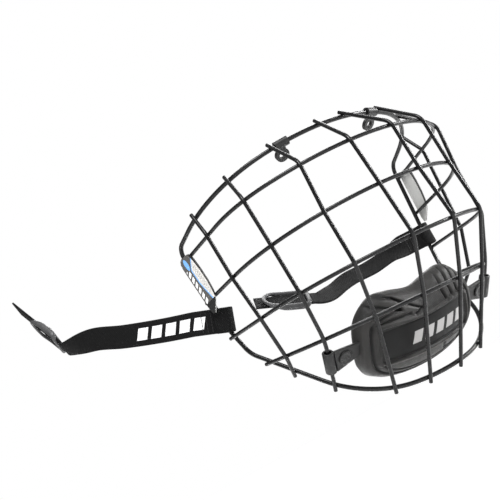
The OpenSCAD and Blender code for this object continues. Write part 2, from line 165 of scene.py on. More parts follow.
def rounded_strip(width, thick, edge_steps=4, flat_steps=8):
    """Outline of a flat strip with round edges, anticlockwise."""
    r, half = thick / 2, width / 2 - thick / 2
    out = []
    for s in (1, -1):
        for k in range(edge_steps + 1):
            a = math.pi * (k / edge_steps - 0.5)
            out.append((s * (half + r * math.cos(a)), s * r * math.sin(a)))
        for k in range(1, flat_steps):
            out.append((s * half * (1 - 2 * k / flat_steps), s * r))
    return out


def oval(width, thick, steps=16, power=0.75):
    """Outline of a soft-cornered block, anticlockwise."""
    out = []
    for k in range(steps):
        c, s = math.cos(2 * math.pi * k / steps), math.sin(2 * math.pi * k / steps)
        out.append((math.copysign(abs(c) ** power, c) * width / 2,
                    math.copysign(abs(s) ** power, s) * thick / 2))
    return out


def lathe(profile, origin, axis, steps=40):
    """Points and faces of a turned piece: profile is [(radius, height), ...] from the bottom up."""
    z = Vector(axis).normalized()
    x = square_to(Vector((0.3, 0.2, 1.0)), z)
    y = z.cross(x)
    points, faces = [], []
    for r, h in profile:
        for k in range(steps):
            a = 2 * math.pi * k / steps
            points.append(origin + z * h + (x * math.cos(a) + y * math.sin(a)) * r)
    for i in range(len(profile) - 1):
        for k in range(steps):
            m = (k + 1) % steps
            faces.append((i * steps + k, i * steps + m, (i + 1) * steps + m, (i + 1) * steps + k))
    faces.append(tuple(reversed(range(steps))))
    faces.append(tuple(range((len(profile) - 1) * steps, len(profile) * steps)))
    return points, faces


def merge(*parts):
    """Joins (points, faces) pairs into one."""
    points, faces = [], []
    for p, f in parts:
        base = len(points)
        points += p
        faces += [tuple(i + base for i in face) for face in f]
    return points, faces


def mirrored(part):
    """A (points, faces) pair reflected in the middle plane."""
    points, faces = part
    return [Vector((-p.x, p.y, p.z)) for p in points], [tuple(reversed(f)) for f in faces]


# --- Materials --------------------------------------------------------------------------------

class Shader:
    """A Principled material, with short names for the nodes that drive it."""

    def __init__(self, name, color, roughness, **sockets):
        self.material = bpy.data.materials.new(name)
        self.material.use_nodes = True
        self.tree = self.material.node_tree
        self.bsdf = self.tree.nodes["Principled BSDF"]
        self.bsdf.inputs["Base Color"].default_value = (*color, 1.0)
        self.bsdf.inputs["Roughness"].default_value = roughness
        for key, value in sockets.items():
            self.bsdf.inputs[key.replace("_", " ")].default_value = value

    def put(self, value, socket):
        if isinstance(value, bpy.types.NodeSocket):
            self.tree.links.new(value, socket)
        elif isinstance(value, tuple) and len(value) == 3 and socket.type == "RGBA":
            socket.default_value = (*value, 1.0)
        else:
            socket.default_value = value

    def math(self, operation, *values):
        node = self.tree.nodes.new("ShaderNodeMath")
        node.operation = operation
        for value, socket in zip(values, node.inputs):
            self.put(value, socket)
        return node.outputs[0]

    def place(self):
        return self.tree.nodes.new("ShaderNodeTexCoord").outputs["Object"]

    def dot(self, vector, direction, offset=0.0):
        """Millimetres along a direction, less an offset."""
        node = self.tree.nodes.new("ShaderNodeVectorMath")
        node.operation = "DOT_PRODUCT"
        self.put(vector, node.inputs[0])
        node.inputs[1].default_value = tuple(Vector(direction) / MM)
        return self.math("SUBTRACT", node.outputs["Value"], offset)

    def uv(self):
        node = self.tree.nodes.new("ShaderNodeUVMap")
        node.uv_map = "UVMap"
        split = self.tree.nodes.new("ShaderNodeSeparateXYZ")
        self.tree.links.new(node.outputs["UV"], split.inputs[0])
        return split.outputs["X"], split.outputs["Y"]

    def noise(self, scale, detail=3.0):
        node = self.tree.nodes.new("ShaderNodeTexNoise")
        node.inputs["Scale"].default_value = scale
        node.inputs["Detail"].default_value = detail
        self.put(self.place(), node.inputs["Vector"])
        return node.outputs["Fac"]

    def cells(self, scale):
        node = self.tree.nodes.new("ShaderNodeTexVoronoi")
        node.inputs["Scale"].default_value = scale
        self.put(self.place(), node.inputs["Vector"])
        return node.outputs["Distance"]

    def spread(self, value, low, high, start=0.3, end=0.7):
        """Maps a value between start and end to low and high."""
        node = self.tree.nodes.new("ShaderNodeMapRange")
        for socket, number in (("From Min", start), ("From Max", end), ("To Min", low), ("To Max", high)):
            node.inputs[socket].default_value = number
        self.put(value, node.inputs["Value"])
        return node.outputs["Result"]

    def mix(self, factor, first, second):
        node = self.tree.nodes.new("ShaderNodeMix")
        node.data_type = "RGBA"
        self.put(factor, node.inputs["Factor"])
        self.put(first, node.inputs["A"])
        self.put(second, node.inputs["B"])
        return node.outputs["Result"]

    def attribute(self, name):
        node = self.tree.nodes.new("ShaderNodeAttribute")
        node.attribute_name = name
        return node.outputs["Fac"]

    def inside(self, value, low, high):
        return self.math("MULTIPLY", self.math("GREATER_THAN", value, low), self.math("LESS_THAN", value, high))

    def ellipse(self, u, w, centre, radii):
        du = self.math("POWER", self.math("DIVIDE", self.math("SUBTRACT", u, centre[0]), radii[0]), 2.0)
        dw = self.math("POWER", self.math("DIVIDE", self.math("SUBTRACT", w, centre[1]), radii[1]), 2.0)
        return self.math("LESS_THAN", self.math("ADD", du, dw), 1.0)

    def color(self, value):
        self.put(value, self.bsdf.inputs["Base Color"])

    def roughness(self, value):
        self.put(value, self.bsdf.inputs["Roughness"])

    def bump(self, height, distance, strength=1.0):
        """Bump whose height is in units of distance, in metres."""
        node = self.tree.nodes.new("ShaderNodeBump")
        node.inputs["Strength"].default_value = strength
        node.inputs["Distance"].default_value = distance
        self.put(height, node.inputs["Height"])
        self.put(node.outputs["Normal"], self.bsdf.inputs["Normal"])


WHITE_INK = (0.80, 0.80, 0.80)
# Thread spacing of the webbing, in metres.
WARP_PITCH = 0.00095
WEFT_PITCH = 0.0018
# The printed bars: how far they lean, and the share of the pitch that each one fills.
BAR_LEAN = 0.35
BAR_SHARE = 0.72


def wire_shader():
    s = Shader("wire_coating", (0.006, 0.006, 0.006), 0.28, Specular_IOR_Level=0.2)
    s.color(s.mix(s.spread(s.noise(260), 0.0, 1.0), (0.003, 0.003, 0.0032), (0.008, 0.008, 0.0084)))
    s.roughness(s.spread(s.noise(700), 0.24, 0.36))
    s.bump(s.noise(1500, 2.0), 0.00006, 0.5)
    return s.material


def plastic_shader(name, dark, light, roughness):
    s = Shader(name, dark, roughness, Specular_IOR_Level=0.25)
    s.color(s.mix(s.spread(s.noise(90), 0.0, 1.0), dark, light))
    s.roughness(s.spread(s.noise(500), roughness - 0.06, roughness + 0.08))
    s.bump(s.noise(1800, 2.0), 0.00005, 0.6)
    return s.material


def web_shader(name, bars=None):
    """Woven webbing; bars = (start, end, half height, pitch) prints slanted bars, in metres.

    The UV map holds metres along and across the strap.
    """
    s = Shader(name, (0.005, 0.005, 0.005), 0.85, Specular_IOR_Level=0.08)
    along, over = s.uv()
    warp = s.math("ABSOLUTE", s.math("SINE", s.math("MULTIPLY", over, math.pi / WARP_PITCH)))
    # Each warp thread is half a pitch out of step with the next.
    shift = s.math("MULTIPLY", s.math("ROUND", s.math("DIVIDE", over, WARP_PITCH)), WEFT_PITCH / 2)
    turns = s.math("MULTIPLY", s.math("ADD", along, shift), math.pi / WEFT_PITCH)
    weft = s.math("ABSOLUTE", s.math("SINE", turns))
    weave = s.math("MULTIPLY", warp, weft)
    # Painted shade and highlight: darker between the threads, lighter on their crowns.
    base = s.mix(weave, (0.002, 0.002, 0.002), (0.009, 0.009, 0.0093))
    if bars:
        start, end, half, pitch = bars
        slant = s.math("ADD", along, s.math("MULTIPLY", over, BAR_LEAN))
        step = s.math("FRACT", s.math("DIVIDE", s.math("SUBTRACT", slant, start), pitch))
        cover = s.math("MULTIPLY", s.math("LESS_THAN", step, BAR_SHARE), s.inside(slant, start, end))
        cover = s.math("MULTIPLY", cover, s.inside(over, -half, half))
        cover = s.math("MULTIPLY", cover, s.attribute("outer_face"))
        # The printed ink takes the same painted shade between the threads.
        ink_with_weave_shade = s.mix(weave, (0.55, 0.55, 0.55), WHITE_INK)
        base = s.mix(cover, base, ink_with_weave_shade)
    s.color(base)
    s.roughness(s.spread(weave, 0.9, 0.6, 0.0, 1.0))
    s.bump(weave, 0.00022, 0.9)
    return s.material


# Plate frame, from the CAD: origin, along the plate to the rear, up the plate.
PLATE_O = Vector((105.728, 52.8286, 31.7804))
PLATE_U = Vector((0.125344, 0.990518, -0.0562342))
PLATE_W = Vector((0.0912344, 0.044933, 0.994815))
PLATE_N = Vector((0.98791, -0.129824, -0.0847373))


def plate_shader(name, side):
    """Printed side plate; side is 1 for the wearer's left and -1 for the right."""
    def turned(v):
        return Vector((v.x * side, v.y, v.z))

    s = Shader(name, (0.05, 0.05, 0.05), 0.42, Specular_IOR_Level=0.3)
    place = s.place()
    o, u_dir, w_dir, n_dir = (turned(v) for v in (PLATE_O, PLATE_U, PLATE_W, PLATE_N))
    u = s.dot(place, u_dir, o.dot(u_dir))
    w = s.dot(place, w_dir, o.dot(w_dir))
    depth = s.dot(place, n_dir, o.dot(n_dir))

    dark, black = (0.075, 0.072, 0.069), (0.004, 0.004, 0.004)
    panel, blue = (0.56, 0.545, 0.52), (0.16, 0.37, 0.72)
    # The pale panel's rear edge: straight in the middle, slanting forward below and above.
    below = s.math("MAXIMUM", s.math("SUBTRACT", -3.0, w), 0.0)
    above = s.math("MAXIMUM", s.math("SUBTRACT", w, 8.0), 0.0)
    edge = s.math("SUBTRACT", 2.6, s.math("MULTIPLY", below, 0.24))
    edge = s.math("SUBTRACT", edge, s.math("MULTIPLY", above, 1.05))
    from_edge = s.math("SUBTRACT", u, edge)
    # Rows of dashes stand where the real plate has small print.
    print_row = s.math("FRACT", s.math("DIVIDE", s.math("ADD", w, s.math("MULTIPLY", u, 0.35)), 2.3))
    print_spot = s.math("GREATER_THAN", s.noise(1500, 1.0), 0.52)
    print_mask = s.math("MULTIPLY", s.math("LESS_THAN", print_row, 0.5), print_spot)
    print_mask = s.math("MULTIPLY", print_mask, s.inside(u, -4.6, -0.4))
    print_mask = s.math("MULTIPLY", print_mask, s.inside(w, -13.0, 9.0))
    panel_color = s.mix(print_mask, panel, (0.20, 0.20, 0.20))
    color = s.mix(s.math("LESS_THAN", from_edge, 0.0), dark, panel_color)
    color = s.mix(s.inside(from_edge, -0.9, 0.25), color, blue)
    color = s.mix(s.ellipse(u, w, (3.9, 13.4), (2.3, 4.4)), color, blue)
    # A column of slanted bars runs down the dark part behind the panel.
    bar_step = s.math("FRACT", s.math("DIVIDE", s.math("ADD", w, s.math("MULTIPLY", u, 0.55)), 4.4))
    bars = s.math("MULTIPLY", s.math("LESS_THAN", bar_step, 0.62), s.inside(w, -18.0, 9.5))
    color = s.mix(s.math("MULTIPLY", bars, s.inside(u, 5.0, 9.0)), color, WHITE_INK)
    # The curved front edge and the lower tip are black.
    rim = s.math("SUBTRACT", u, s.math("MULTIPLY", s.math("MULTIPLY", w, w), 0.0075))
    color = s.mix(s.math("LESS_THAN", rim, -6.5), color, black)
    color = s.mix(s.math("LESS_THAN", w, -17.6), color, black)
    inner = s.mix(s.math("LESS_THAN", rim, -6.3), (0.42, 0.42, 0.41), black)
    # Only the outer face is printed.
    s.color(s.mix(s.math("GREATER_THAN", depth, 0.6), inner, color))
    s.bump(s.noise(500, 2.0), 0.00004, 0.5)
    return s.material


MESH_DIRECTIONS = ((2.6, 1.3, 1.9), (2.6, -1.3, -1.9))


def cup_shader():
    s = Shader("cup_skin", (0.02, 0.019, 0.018), 0.42, Specular_IOR_Level=0.22)
    grain = s.cells(1500)
    place = s.place()
    # Crossed lines make the perforated fields.
    hatch = [s.math("ABSOLUTE", s.math("SINE", s.dot(place, d))) for d in MESH_DIRECTIONS]
    mesh = s.math("MULTIPLY", *hatch)
    area = s.attribute("mesh_area")
    plain_height = s.math("MULTIPLY", grain, s.math("SUBTRACT", 1.0, area))
    mesh_height = s.math("MULTIPLY", mesh, s.math("MULTIPLY", area, 1.6))
    base = s.mix(s.spread(s.noise(60), 0.0, 1.0), (0.009, 0.0086, 0.0082), (0.018, 0.0172, 0.0164))
    holes = s.math("MULTIPLY", area, s.spread(mesh, 1.0, 0.0, 0.0, 0.5))
    pitted = s.mix(holes, base, (0.004, 0.004, 0.004))
    # Painted shade: grooves and the panel's recess are darkened by how deep they sink.
    s.color(s.mix(s.math("POWER", s.attribute("painted_crease_shade"), 0.7), pitted, (0.002, 0.002, 0.002)))
    s.roughness(s.spread(s.noise(300), 0.42, 0.58))
    s.bump(s.math("ADD", plain_height, mesh_height), 0.00022, 0.7)
    return s.material


# --- Straps -----------------------------------------------------------------------------------

WEB_WIDTH = 18.0
WEB_THICK = 1.5
SPLINE_STEPS = 14


class Strap:
    """One side strap's route, from the stitched end round the rim to the free tail."""

    def __init__(self, origin, x, z, loop, neck, way, across):
        self.origin, self.x, self.z = Vector(origin), Vector(x).normalized(), Vector(z)
        self.y = self.z.cross(self.x)
        length, breadth = loop
        r = breadth / 2 + WEB_THICK / 2
        # Along the inside of the doubled neck to the rim, round it and back on the outside.
        turned = [(neck + length / 2, -WEB_THICK / 2), (length / 2 + neck * 0.5, -WEB_THICK / 2),
                  (length / 2 + 1.5, -WEB_THICK / 2 - 0.2), (length / 2, -r)]
        for k in range(9):
            a = math.pi * k / 8
            turned.append((-length / 2 - r * math.sin(a), -r * math.cos(a)))
        turned += [(length / 2, r), (length / 2 + 1.5, WEB_THICK / 2 + 0.2),
                   (length / 2 + neck * 0.5, WEB_THICK / 2), (neck + length / 2, WEB_THICK / 2)]
        start = [self.at(*p) for p in turned]
        self.route = self.refine(start, 3) + spline([start[-1], *way], SPLINE_STEPS)[1:]
        turns = spline([self.z, *across], SPLINE_STEPS)
        self.across = [self.z] * (len(self.route) - len(turns) + 1) + turns[1:]

    def at(self, along, out):
        return self.origin + self.x * along + self.y * out

    @staticmethod
    def refine(points, steps):
        out = []
        for a, b in zip(points, points[1:]):
            out += [a.lerp(b, k / steps) for k in range(steps)]
        return out + [points[-1]]

    def length(self):
        return sum((b - a).length for a, b in zip(self.route, self.route[1:]))

    def build(self, name, node, body, material):
        section = rounded_strip(WEB_WIDTH, WEB_THICK)
        points, faces = sweep(self.route, self.across, [section] * len(self.route))
        uv, run = [], 0.0
        for i, p in enumerate(self.route):
            if i:
                run += (p - self.route[i - 1]).length
            uv += [((run - self.rim_run()) * MM, a * MM) for a, b in section]
        obj = new_object(name, points, faces, uv)
        outer = obj.data.attributes.new("outer_face", "FLOAT", "POINT")
        marks = [1.0 if b > 0.3 else 0.0 for _ in self.route for a, b in section]
        outer.data.foreach_set("value", marks)
        obj.data.materials.append(material)
        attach(obj, body)
        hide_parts(node)
        return obj

    def rim_run(self):
        """Length of route before it leaves the rim on the outside."""
        best = min(range(len(self.route)), key=lambda i: (self.route[i] - self.at(0, 4)).length)
        return sum((b - a).length for a, b in zip(self.route[:best], self.route[1:best + 1]))


# Each strap's frame, from the CAD: O on the rim, X along the webbing and Z across it. The
# tail's own X and Z start at the slide's bar.
RIGHT_O = Vector((-99.9109, 62.9642, -1.5))
RIGHT_X = Vector((-0.494722, 0.791721, 0.358368))
RIGHT_Z = Vector((0.189906, -0.303913, 0.93358))
RIGHT_TAIL_X = Vector((-0.12009, 0.600451, 0.790593))
RIGHT_TAIL_Z = Vector((-0.411667, -0.754781, 0.51072))
RIGHT_BAR = Vector((-175.0, 182.1, 52.1))
RIGHT_TAIL = 61.0

LEFT_O = Vector((99.6376, 62.9749, -4.5))
LEFT_X = Vector((-0.945519, 0.325568, 0.0))
LEFT_Z = Vector((0.0, 0.0, 1.0))
LEFT_LEAN = Vector((0.0, 0.68, 0.73))
LEFT_TAIL_X = Vector((-0.881047, 0.300357, 0.365434))
LEFT_TAIL_Z = Vector((0.46532, 0.68922, 0.555385))
LEFT_BAR = Vector((-20.5, 75.4, -11.0))
LEFT_TAIL = 41.0


def right_strap():
    drop = Vector((0, 0, 1))
    way = [RIGHT_O + RIGHT_X * d - drop * sag for d, sag in ((55, 1.5), (90, 2.0), (118, 1.0))]
    way += [RIGHT_BAR + RIGHT_TAIL_X * d for d in (-9, -4, 8, 30, RIGHT_TAIL)]
    across = [RIGHT_Z, RIGHT_Z, RIGHT_Z * 0.9 + RIGHT_TAIL_Z * 0.1] + [RIGHT_TAIL_Z] * 5
    return Strap(RIGHT_O, RIGHT_X, RIGHT_Z, (8.5, 5.6), 22.0, way, across)


def left_strap():
    way = [Vector(p) for p in ((67, 74.5, -6), (48, 79.5, -8.5), (28, 81.5, -9), (9, 78.5, -12.5))]
    way += [LEFT_BAR + LEFT_TAIL_X * d for d in (-12, -5, 8, 30, LEFT_TAIL)]
    across = [LEFT_LEAN, LEFT_LEAN, LEFT_LEAN] + [LEFT_TAIL_Z] * 6
    return Strap(LEFT_O, LEFT_X, LEFT_Z, (4.0, 5.2), 19.0, way, across)


STITCH_COUNT = 7
STITCH_PITCH = 2.15
STITCH_LENGTH = 1.5
STITCH_EDGE = 7.2


def stitches(name, strap, body, material, first, rows, pitch):
    """Rows of sewn thread across the doubled neck of a strap."""
    parts = []
    for row in range(rows):
        along = first + row * pitch
        for k in range(STITCH_COUNT):
            start = k * STITCH_PITCH - STITCH_EDGE
            hump = [(0.0, 0.02), (STITCH_LENGTH / 2, 0.22), (STITCH_LENGTH, 0.02)]
            path = [strap.at(along, WEB_THICK + out) + strap.z * (start + z) for z, out in hump]
            parts.append(sweep(path, [strap.x] * 3, [oval(0.42, 0.3, 8)] * 3))
    obj = new_object(name, *merge(*parts))
    obj.data.materials.append(material)
    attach(obj, body)
    return obj


# --- Strap slides -----------------------------------------------------------------------------

SLIDE_LENGTH = 38.0
SLIDE_WIDTH = 26.0
RAIL = 3.6
BAR_HEIGHT = 2.25
BAR_THICK = 2.4
RAIL_THICK = 5.2
UNDER_BAR_X = 11.8


def slide_piece(name, node, body, origin, x, z, material):
    """D-shaped loop over the webbing, with one bar under it."""
    y = z.cross(x)
    half = SLIDE_WIDTH / 2 - RAIL / 2
    round_x = SLIDE_LENGTH - 2 - SLIDE_WIDTH / 2
    outline = [(0, w, 1.0) for w in (-7.6, -3.8, 0, 3.8, 7.6)]
    outline += [(0.3, 9.6, 0.75), (1.4, half, 0.3)]
    outline += [(d, half, 0.0) for d in (4, 9, 14, round_x - 3)]
    for k in range(1, 12):
        a = math.pi * (0.5 - k / 12)
        outline.append((round_x + half * math.cos(a), half * math.sin(a), min(1.0, 2.6 * math.cos(a))))
    outline += [(d, -half, 0.0) for d in (round_x - 3, 14, 9, 4)]
    outline += [(1.4, -half, 0.3), (0.3, -9.6, 0.75)]
    path = [origin + x * a + z * b + y * (BAR_HEIGHT * top) for a, b, top in outline]
    sections = [oval(RAIL_THICK + (BAR_THICK - RAIL_THICK) * top, RAIL - 0.2, 16) for a, b, top in outline]
    under = [origin + x * UNDER_BAR_X + z * b - y * BAR_HEIGHT for b in (-11, -5, 0, 5, 11)]
    parts = merge(sweep(path, [y] * len(path), sections, closed=True),
                  sweep(under, [y] * 5, [oval(BAR_THICK, 3.4, 16)] * 5))
    obj = new_object(name, *parts)
    obj.data.materials.append(material)
    smooth = obj.modifiers.new("smooth", "SUBSURF")
    smooth.levels = smooth.render_levels = 1
    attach(obj, body)
    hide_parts(node)


# --- Chin cup ---------------------------------------------------------------------------------

CUP_AT = Vector((0, -14.5, -78.5))
CUP_LEAN = math.radians(37)
CUP_HALF = (52.5, 32.0)
CUP_RADIUS = 118.0
CUP_CROWN = 46.0
CUP_THICK = 12.0
CUP_POWER = 1 / 0.35
WALL_SWELL = 1.3
CUP_STEPS = (220, 140)
BAND = (-13.0, 12.5)
BAND_HALF = 41.0

# Depths on the cup's front, in millimetres.
GROOVE_DEPTH = 1.7
PANEL_RIDGE = 1.3
PANEL_RECESS = 1.9
PAD_SWELL = 0.8
# A surface this far below the plain shell takes the full painted shade of a groove or recess.
PAINTED_SHADE_DEPTH = 1.3

# Lines of (x, z) points, each with its share of the full depth and its half width.
GROOVES = [
    ([(-49, 20), (-42, 26), (-20, 21.5)], 1.3, 0.9),
    ([(-20, 21.5), (-40, 17.5)], 1.1, 0.9),
    ([(-43, 31), (-22, 28.5), (-3, 20), (-10, 16.5)], 1.3, 0.9),
    ([(-22, 28.5), (-16, 24.5)], 0.8, 0.8),
    ([(-38, 15.4), (-14, 17.8)], 0.9, 0.9),
    ([(20, 30), (18, 22), (20, 15)], 1.3, 1.0),
    ([(27, 30), (25, 22), (27, 15)], 1.3, 1.0),
    ([(34, 30), (32, 22), (34, 14)], 1.3, 1.0),
    ([(41, 29), (39, 21), (42, 12)], 1.3, 1.0),
    ([(14, -16), (16, -22), (34, -22), (36, -16)], 0.9, 0.9),
]


def cup_depth(x, z, inset):
    """Local y of the cup's surface at a depth below its front."""
    r = CUP_RADIUS - CUP_CROWN + math.sqrt(CUP_CROWN ** 2 - z * z) - inset
    return CUP_RADIUS - math.sqrt(r * r - x * x)


def cup_point(x, y, z):
    """Place in the frame of a point in the cup's own axes."""
    c, s = math.cos(CUP_LEAN), math.sin(CUP_LEAN)
    return CUP_AT + Vector((x, y * c - z * s, y * s + z * c))


def from_line(p, a, b):
    """Distance of p from the line between a and b."""
    ab = (b[0] - a[0], b[1] - a[1])
    t = ((p[0] - a[0]) * ab[0] + (p[1] - a[1]) * ab[1]) / (ab[0] ** 2 + ab[1] ** 2)
    t = max(0.0, min(1.0, t))
    return math.hypot(p[0] - a[0] - t * ab[0], p[1] - a[1] - t * ab[1])


def step_up(value, start, end):
    """Smooth rise from 0 at start to 1 at end."""
    t = max(0.0, min(1.0, (value - start) / (end - start)))
    return t * t * (3 - 2 * t)


def in_band(x, z, grow=0.0):
    """1 inside the smooth front panel, 0 outside, with a soft edge."""
    middle, half = (BAND[0] + BAND[1]) / 2, (BAND[1] - BAND[0]) / 2
    r = 4.0
    dx = max(abs(x) - (BAND_HALF + grow) + r, 0.0)
    dz = max(abs(z - middle) - (half + grow) + r, 0.0)
    return 1 - step_up(math.hypot(dx, dz) - r, -0.7, 0.7)


def cup_relief(x, z, m):
    """How far the front stands out from the plain shell, in millimetres."""
    out = 0.0
    for line, depth, width in GROOVES:
        d = min(from_line((x, z), a, b) for a, b in zip(line, line[1:]))
        out -= GROOVE_DEPTH * depth * math.exp(-((d / width) ** 2))
    # Ridge round the panel, the panel's own recess, and two rolled lines inside the rim.
    out += PANEL_RIDGE * in_band(x, z, 2.4) - PANEL_RECESS * in_band(x, z)
    for place, depth in ((0.79, 1.5), (0.885, 2.1)):
        lower = step_up(-z + abs(x) * 0.55, 4.0, 10.0)
        out -= depth * lower * math.exp(-(((m - place) / 0.017) ** 2)) * (1 - in_band(x, z, 1.0))
    # Soft swell of the upper pad between its grooves.
    out += PAD_SWELL * step_up(z, 14, 20) * (1 - step_up(m, 0.85, 0.97))
    return out


def cup_outline_shift(x, z):
    """The top edge dips in the middle and rises at the two wings."""
    wing = math.exp(-(((abs(x) - 33) / 9) ** 2))
    return step_up(z, 6, 32) * (2.4 * wing - 5.0 * math.exp(-((x / 15) ** 2)))


def mesh_area(x, z, m):
    """1 on the perforated fields above the panel."""
    middle = step_up(z, 15.0, 17.0) * (1 - step_up(abs(x - 8), 11.0, 13.0))
    wing = step_up(z, 10.0, 13.0) * step_up(-x, 43.0, 45.0)
    return max(middle, wing) * (1 - step_up(m, 0.90, 0.94))


def superellipse(a, b):
    """Carries the square grid onto the cup's rounded outline."""
    m = max(abs(a), abs(b))
    k = (abs(a) ** CUP_POWER + abs(b) ** CUP_POWER) ** (1 / CUP_POWER)
    return (0.0, 0.0, 0.0) if m == 0 else (a * m / k * CUP_HALF[0], b * m / k * CUP_HALF[1], m)


def rolled(m, start, amount):
    """Quarter-round fall towards the rim."""
    t = max(0.0, (m - start) / (1 - start))
    return amount * (1 - math.sqrt(max(0.0, 1 - t * t)))


def two_layers(nx, nz):
    """Faces of two grids of nx by nz squares, the first facing forward and the second back."""
    row, size = nx + 1, (nx + 1) * (nz + 1)
    faces = []
    for j in range(nz):
        for i in range(nx):
            a = j * row + i
            faces.append((a, a + 1, a + row + 1, a + row))
            faces.append((size + a, size + a + row, size + a + row + 1, size + a + 1))
    return faces


def grid_edge(nx, nz):
    """Point numbers round the edge of a grid of nx by nz squares."""
    row = nx + 1
    edge = list(range(row)) + [j * row + nx for j in range(1, nz + 1)]
    return edge + [nz * row + i for i in range(nx - 1, -1, -1)] + [j * row for j in range(nz - 1, 0, -1)]


def build_cup(material):
    """The cup's front, with its grooves and panel recess, and its plain back."""
    nx, nz = CUP_STEPS
    points, marks, painted_crease_shades = [], [], []
    for layer in (0, 1):
        for j in range(nz + 1):
            for i in range(nx + 1):
                x, z, m = superellipse(2 * i / nx - 1, 2 * j / nz - 1)
                relief = cup_relief(x, z, m) if layer == 0 else 0.0
                # Painted shade, deeper in grooves and recesses; the back layer gets none.
                painted_crease_shades.append(max(0.0, min(1.0, -relief / PAINTED_SHADE_DEPTH)))
                if layer == 0:
                    y = cup_depth(x, z, 0) - relief + rolled(m, 0.91, 2.8)
                    marks.append(mesh_area(x, z, m))
                else:
                    crown = 0.6 * math.cos(x / 9) * math.cos(z / 14) * (1 - step_up(m, 0.6, 0.9))
                    y = cup_depth(x, z, CUP_THICK) - rolled(m, 0.84, 2.4) + crown
                    marks.append(0.0)
                points.append(cup_point(x, y, z + cup_outline_shift(x, z)))
    faces = two_layers(nx, nz)
    size = (nx + 1) * (nz + 1)
    rim = grid_edge(nx, nz)
    # The side wall swells a little between the front and the back edge.
    wall = len(points)
    middle = cup_point(0, CUP_THICK, 0)
    for a in rim:
        edge = (points[a] + points[size + a]) / 2
        points.append(edge + (edge - middle).normalized() * WALL_SWELL)
        marks.append(0.0)
        painted_crease_shades.append(0.0)
    for k, a in enumerate(rim):
        m = (k + 1) % len(rim)
        b = rim[m]
        faces += [(a, wall + k, wall + m, b), (wall + k, size + a, size + b, wall + m)]
    obj = new_object("chin_cup_pad", points, faces)
    field = obj.data.attributes.new("mesh_area", "FLOAT", "POINT")
    field.data.foreach_set("value", marks)
    painted_crease_shade = obj.data.attributes.new("painted_crease_shade", "FLOAT", "POINT")
    painted_crease_shade.data.foreach_set("value", painted_crease_shades)
    obj.data.materials.append(material)
    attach(obj, "chin_cup")
    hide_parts("chin_shell", "chin_liner")


# Bars on the panel, in metres: from end to end, half their height, and their pitch.
BAND_BARS = (-0.019, 0.033)
BAND_BAR_HALF = 0.0045
BAND_BAR_PITCH = 0.0105
BAND_RUBBER = (0.004, 0.004, 0.004)
BAND_INK = (0.27, 0.266, 0.262)
# How far the panel's edge stands in from its recess.
BAND_GAP = 0.9


def band_shader():
    """Smooth dark rubber with a row of plain slanted bars."""
    s = Shader("cup_band", BAND_RUBBER, 0.42, Specular_IOR_Level=0.12)
    s.roughness(s.spread(s.noise(220), 0.36, 0.50))
    along, up = s.uv()
    slant = s.math("SUBTRACT", along, s.math("MULTIPLY", up, 0.3))
    # The added length sets where in its pitch the first bar starts.
    step = s.math("FRACT", s.math("DIVIDE", s.math("ADD", slant, 0.1), BAND_BAR_PITCH))
    cover = s.math("MULTIPLY", s.math("LESS_THAN", step, 0.7), s.inside(slant, *BAND_BARS))
    cover = s.math("MULTIPLY", cover, s.inside(up, -BAND_BAR_HALF, BAND_BAR_HALF))
    s.color(s.mix(cover, BAND_RUBBER, BAND_INK))
    s.bump(s.noise(900, 2.0), 0.00005, 0.5)
    return s.material


def build_band(material):
    """Smooth rubber panel set in the cup's front."""
    nx, nz = 80, 24
    middle, half = (BAND[0] + BAND[1]) / 2, (BAND[1] - BAND[0]) / 2 - BAND_GAP
    points, uv = [], []
    for layer in (0, 1):
        for j in range(nz + 1):
            for i in range(nx + 1):
                a, b = 2 * i / nx - 1, 2 * j / nz - 1
                m = max(abs(a), abs(b))
                k = (abs(a) ** 12 + abs(b) ** 12) ** (1 / 12)
                k = 1.0 if m == 0 else m / k
                x, z = a * k * (BAND_HALF - BAND_GAP), middle + b * k * half
                # The front edge is eased back a little; the panel's back is out of sight.
                front = 0.75 if m >= 0.96 else 0.35
                y = cup_depth(x, z, 0) + (1.6 if layer else front)
                points.append(cup_point(x, y, z))
                uv.append((x * MM, (z - middle) * MM))
    faces = two_layers(nx, nz)
    size = (nx + 1) * (nz + 1)
    rim = grid_edge(nx, nz)
    for k, a in enumerate(rim):
        b = rim[(k + 1) % len(rim)]
        faces.append((a, size + a, size + b, b))
    obj = new_object("chin_cup_band", points, faces, uv)
    obj.data.materials.append(material)
    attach(obj, "chin_cup")
    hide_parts("chin_band")


# --- Chin tabs and snaps ----------------------------------------------------------------------

# The left tab's frame, from the CAD: O and Z on the upright wire's axis, X away from the cup.
TAB_O = Vector((74.8945, 3.35247, -65.9435))
TAB_X = Vector((0.990025, 0.0937252, -0.105193))
TAB_Y = Vector((0.0, 0.746633, 0.665237))
TAB_Z = Vector((0.14089, -0.658601, 0.739185))
TAB_PATH = [(-3.2, -2.3), (-6, -2.6), (-10.5, -3.0), (-15, -3.4), (-21, -4.0), (-27.5, -4.6)]
TAB_WIDTHS = [16.6, 15.5, 14.2, 12.6, 10.6, 9.4]
TAB_THICK = 3.0
SLEEVE = (2.6, 4.0)
SLEEVE_HALF = 8.4
SNAP_RADIUS = 5.2


def tab_at(x, y, z=0.0):
    return TAB_O + TAB_X * x + TAB_Y * y + TAB_Z * z


